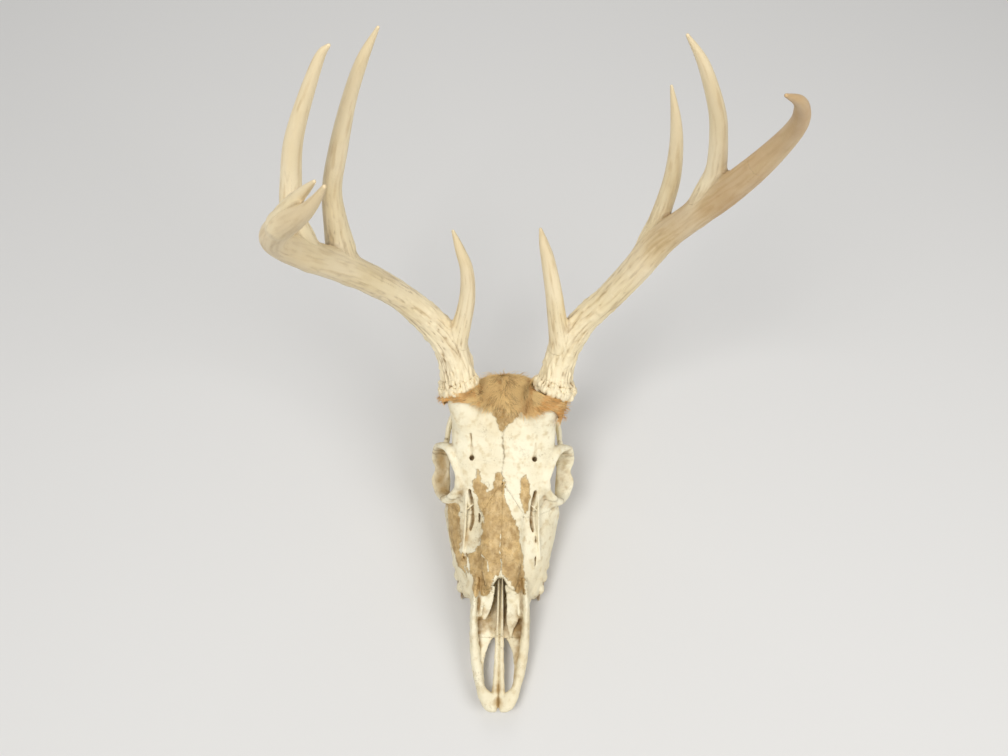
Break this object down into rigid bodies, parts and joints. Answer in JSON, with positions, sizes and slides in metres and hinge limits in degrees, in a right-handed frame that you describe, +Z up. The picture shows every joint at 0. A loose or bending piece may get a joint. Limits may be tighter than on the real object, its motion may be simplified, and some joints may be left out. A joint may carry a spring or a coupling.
{
  "type": "white-tailed deer skull",
  "caption": "Still life-size skull of a white-tailed buck with both antlers and a dried strip of scalp, lying on its teeth, without the lower jaw.",
  "frame": {"origin": "middle of the footprint of the whole object, at the level of the surface it lies on", "axes": "+Z up, -Y the way the nose points, +X the animal's left"},
  "size_m": [0.3114, 0.303, 0.4881],
  "materials": {
    "bone": "satin",
    "antler": "satin",
    "dried_hide": "matte"
  },
  "bodies": {
    "root": {"premaxilla_left": "bone", "premaxilla_right": "bone", "nasal_bone_left": "bone", "nasal_bone_right": "bone", "maxilla_and_teeth_left": "bone", "maxilla_and_teeth_right": "bone", "cheek_bone_left": "bone", "cheek_bone_right": "bone", "braincase": "bone", "vomer": "bone", "scalp": "dried_hide", "antler_right_beam_base": "antler", "antler_right_beam_middle": "antler", "antler_right_beam_tip": "antler", "antler_right_brow_tine": "antler", "antler_right_second_tine": "antler", "antler_right_third_tine": "antler", "antler_right_fourth_tine": "antler", "antler_left_beam_base": "antler", "antler_left_beam_middle": "antler", "antler_left_beam_tip": "antler", "antler_left_brow_tine": "antler", "antler_left_second_tine": "antler", "antler_left_third_tine": "antler"}
  },
  "joints": []
}
